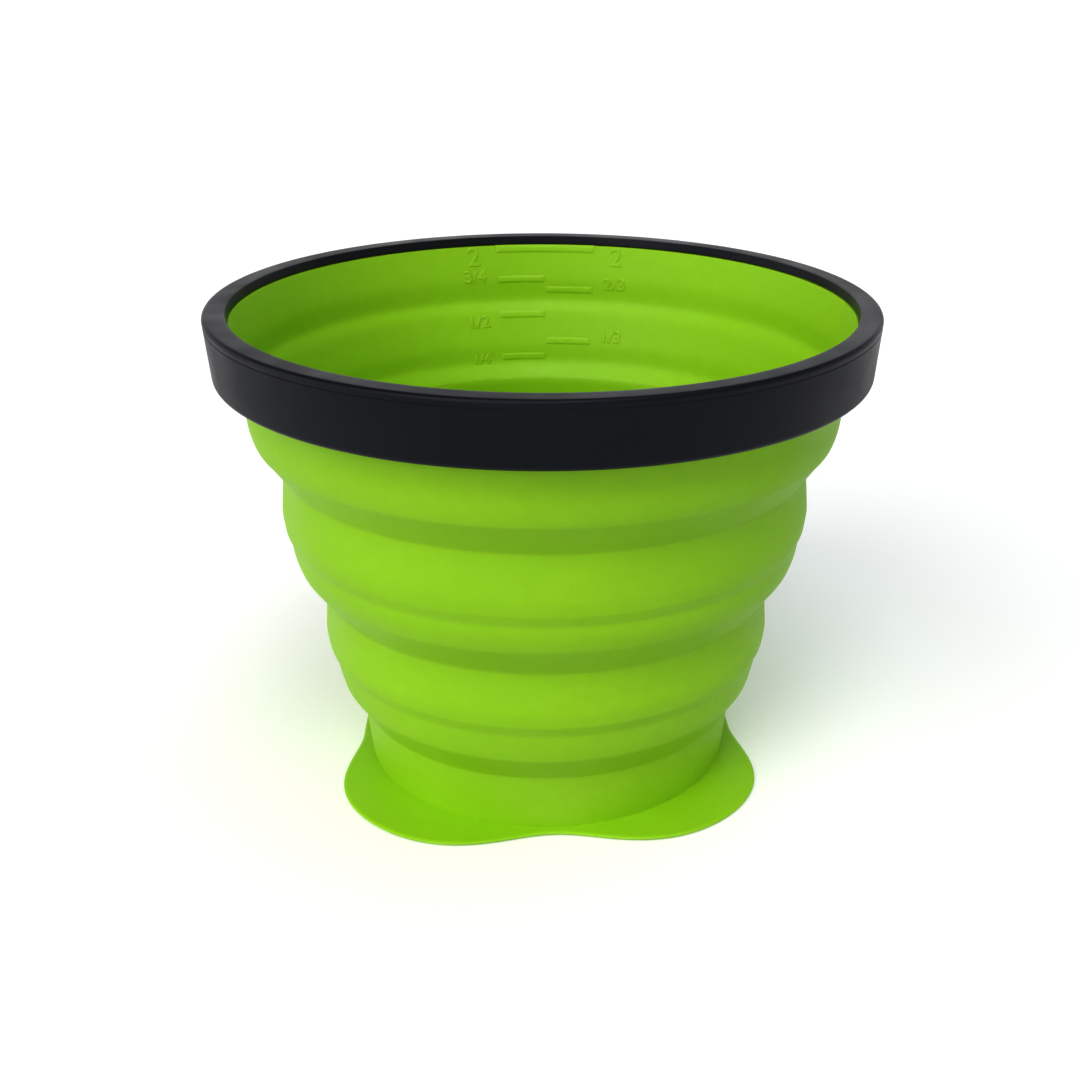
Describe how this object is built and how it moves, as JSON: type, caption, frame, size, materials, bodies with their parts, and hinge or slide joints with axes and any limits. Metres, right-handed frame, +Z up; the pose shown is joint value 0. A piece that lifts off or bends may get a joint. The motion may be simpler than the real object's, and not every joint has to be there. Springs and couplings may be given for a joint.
{
  "type": "collapsible measuring cup",
  "caption": "Collapsible silicone measuring cup with a rigid rim, a stepped wall that folds down in three stages, a raised inner scale and a lobed foot.",
  "frame": {"origin": "centre of the foot's underside, on the surface the cup stands on", "axes": "+Z up along the cup's axis, +Y towards the wall that carries the scale, -Y the front"},
  "size_m": [0.115, 0.115, 0.086],
  "materials": {
    "silicone": "soft satin lime green silicone",
    "rim_plastic": "fine-grained satin charcoal plastic"
  },
  "bodies": {
    "base": {"base_cup": "silicone", "foot_flange": "silicone", "lower_fold": "silicone"},
    "lower_section": {"lower_wall": "silicone", "middle_fold": "silicone"},
    "middle_section": {"middle_wall": "silicone", "upper_fold": "silicone"},
    "rim_section": {"rim_ring": "rim_plastic", "upper_wall": "silicone"}
  },
  "joints": [
    {"name": "lower_fold_slide", "type": "slide", "parent": "base", "child": "lower_section", "axis": [0, 0, 1], "range_m": [-0.0145, 0], "deforming": ["lower_fold"]},
    {"name": "middle_fold_slide", "type": "slide", "parent": "lower_section", "child": "middle_section", "axis": [0, 0, 1], "range_m": [-0.0235, 0], "deforming": ["middle_fold"]},
    {"name": "upper_fold_slide", "type": "slide", "parent": "middle_section", "child": "rim_section", "axis": [0, 0, 1], "range_m": [-0.0235, 0], "deforming": ["upper_fold"]}
  ]
}
